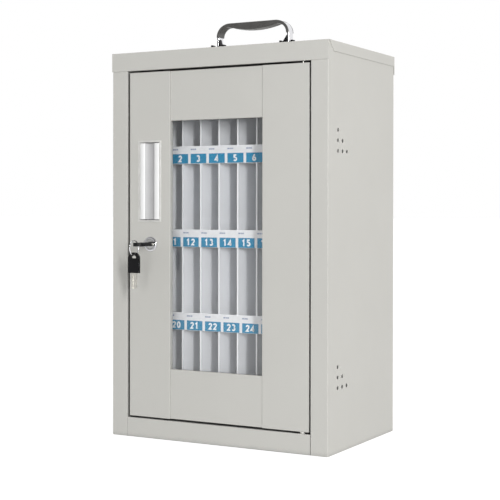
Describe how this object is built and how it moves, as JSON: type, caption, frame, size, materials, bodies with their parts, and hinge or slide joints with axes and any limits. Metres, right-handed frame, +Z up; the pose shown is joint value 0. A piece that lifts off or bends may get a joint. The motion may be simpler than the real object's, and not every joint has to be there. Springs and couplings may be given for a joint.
{
  "type": "cell phone locker box",
  "caption": "Table-top steel locker box with a glazed, key-locked door over a rack of upright phone cells, and a folding carry handle on top.",
  "frame": {"origin": "middle of the base footprint, on the surface the box stands on", "axes": "+Z up, +X to the right of someone facing the door, +Y from the door to the back"},
  "size_m": [0.32, 0.2581, 0.555],
  "materials": {
    "cabinet_paint": "light warm grey powder coat, satin, fine texture",
    "rack_plastic": "white sheet plastic, satin",
    "label_film": "white printed film with blue number fields",
    "clear_pane": "clear, polished",
    "zinc_steel": "bright zinc or nickel plate",
    "dark_nylon": "moulded",
    "black_plastic": "moulded, fine texture",
    "grip_plastic": "dark grey soft plastic",
    "chrome_plate": "polished",
    "lock_brass": "nickel-plated, polished",
    "pull_trim": "silver-white, satin"
  },
  "bodies": {
    "cabinet": {"left_side_panel": "cabinet_paint", "right_side_panel": "cabinet_paint", "back_panel": "cabinet_paint", "top_cover": "cabinet_paint", "bottom_pan": "cabinet_paint", "lower_pivot_pin": "zinc_steel", "upper_pivot_pin": "zinc_steel", "lower_pivot_bush": "dark_nylon", "handle_bracket_left": "black_plastic", "handle_bracket_right": "black_plastic", "handle_pins": "zinc_steel", "handle_screws": "zinc_steel", "rack_runner_left": "cabinet_paint", "rack_runner_right": "cabinet_paint", "rack_top": "rack_plastic", "rack_back": "rack_plastic", "label_strips": "label_film", "rack_divider_1": "rack_plastic", "rack_divider_2": "rack_plastic", "rack_divider_3": "rack_plastic", "rack_divider_4": "rack_plastic", "rack_divider_5": "rack_plastic", "rack_divider_6": "rack_plastic", "rack_divider_7": "rack_plastic", "rack_divider_8": "rack_plastic", "rack_divider_9": "rack_plastic", "rack_divider_10": "rack_plastic", "rack_shelf_1": "rack_plastic", "rack_shelf_2": "rack_plastic", "rack_shelf_3": "rack_plastic", "rack_shelf_4": "rack_plastic", "shelf_lip_1": "rack_plastic", "shelf_lip_2": "rack_plastic", "shelf_lip_3": "rack_plastic", "shelf_lip_4": "rack_plastic"},
    "door": {"door_stile_left": "cabinet_paint", "door_stile_right": "cabinet_paint", "door_panel_upper": "cabinet_paint", "door_panel_lower": "cabinet_paint", "window_pane": "clear_pane", "glazing_beads": "cabinet_paint", "door_pivot_plate_lower": "cabinet_paint", "door_pivot_plate_upper": "cabinet_paint", "pull_bezel": "pull_trim", "pull_channel": "pull_trim", "lock_housing": "chrome_plate", "lock_nut": "zinc_steel"},
    "carry_handle": {"handle_frame": "chrome_plate", "handle_grip": "grip_plastic"},
    "lock_cylinder": {"lock_plug": "lock_brass", "lock_cam": "zinc_steel", "cam_screw": "zinc_steel"},
    "inserted_key": {"key_head": "black_plastic", "key_blade": "zinc_steel"},
    "ring": {"key_ring": "chrome_plate"},
    "spare_key": {"spare_key_head": "black_plastic", "spare_key_blade": "zinc_steel"}
  },
  "joints": [
    {"name": "door_hinge", "type": "hinge", "parent": "cabinet", "child": "door", "pos_m": [0.1225, -0.0983, 0.2554], "axis": [0, 0, 1], "range_deg": [0, 110]},
    {"name": "lock_turn", "type": "hinge", "parent": "door", "child": "lock_cylinder", "pos_m": [-0.0989, -0.1028, 0.2564], "axis": [0, 1, 0], "range_deg": [0, 90]},
    {"name": "key_slide", "type": "slide", "parent": "lock_cylinder", "child": "inserted_key", "axis": [0, -1, 0], "range_m": [0, 0.016]},
    {"name": "ring_swing", "type": "hinge", "parent": "inserted_key", "child": "ring", "pos_m": [-0.0989, -0.13415, 0.2564], "axis": [1, 0, 0], "range_deg": [-40, 0]},
    {"name": "spare_key_swing", "type": "hinge", "parent": "ring", "child": "spare_key", "pos_m": [-0.0989, -0.14259, 0.2424], "axis": [0, 1, 0], "range_deg": [-35, 35]},
    {"name": "handle_fold", "type": "hinge", "parent": "cabinet", "child": "carry_handle", "pos_m": [0, 0, 0.52], "axis": [1, 0, 0], "range_deg": [-85, 85]}
  ]
}
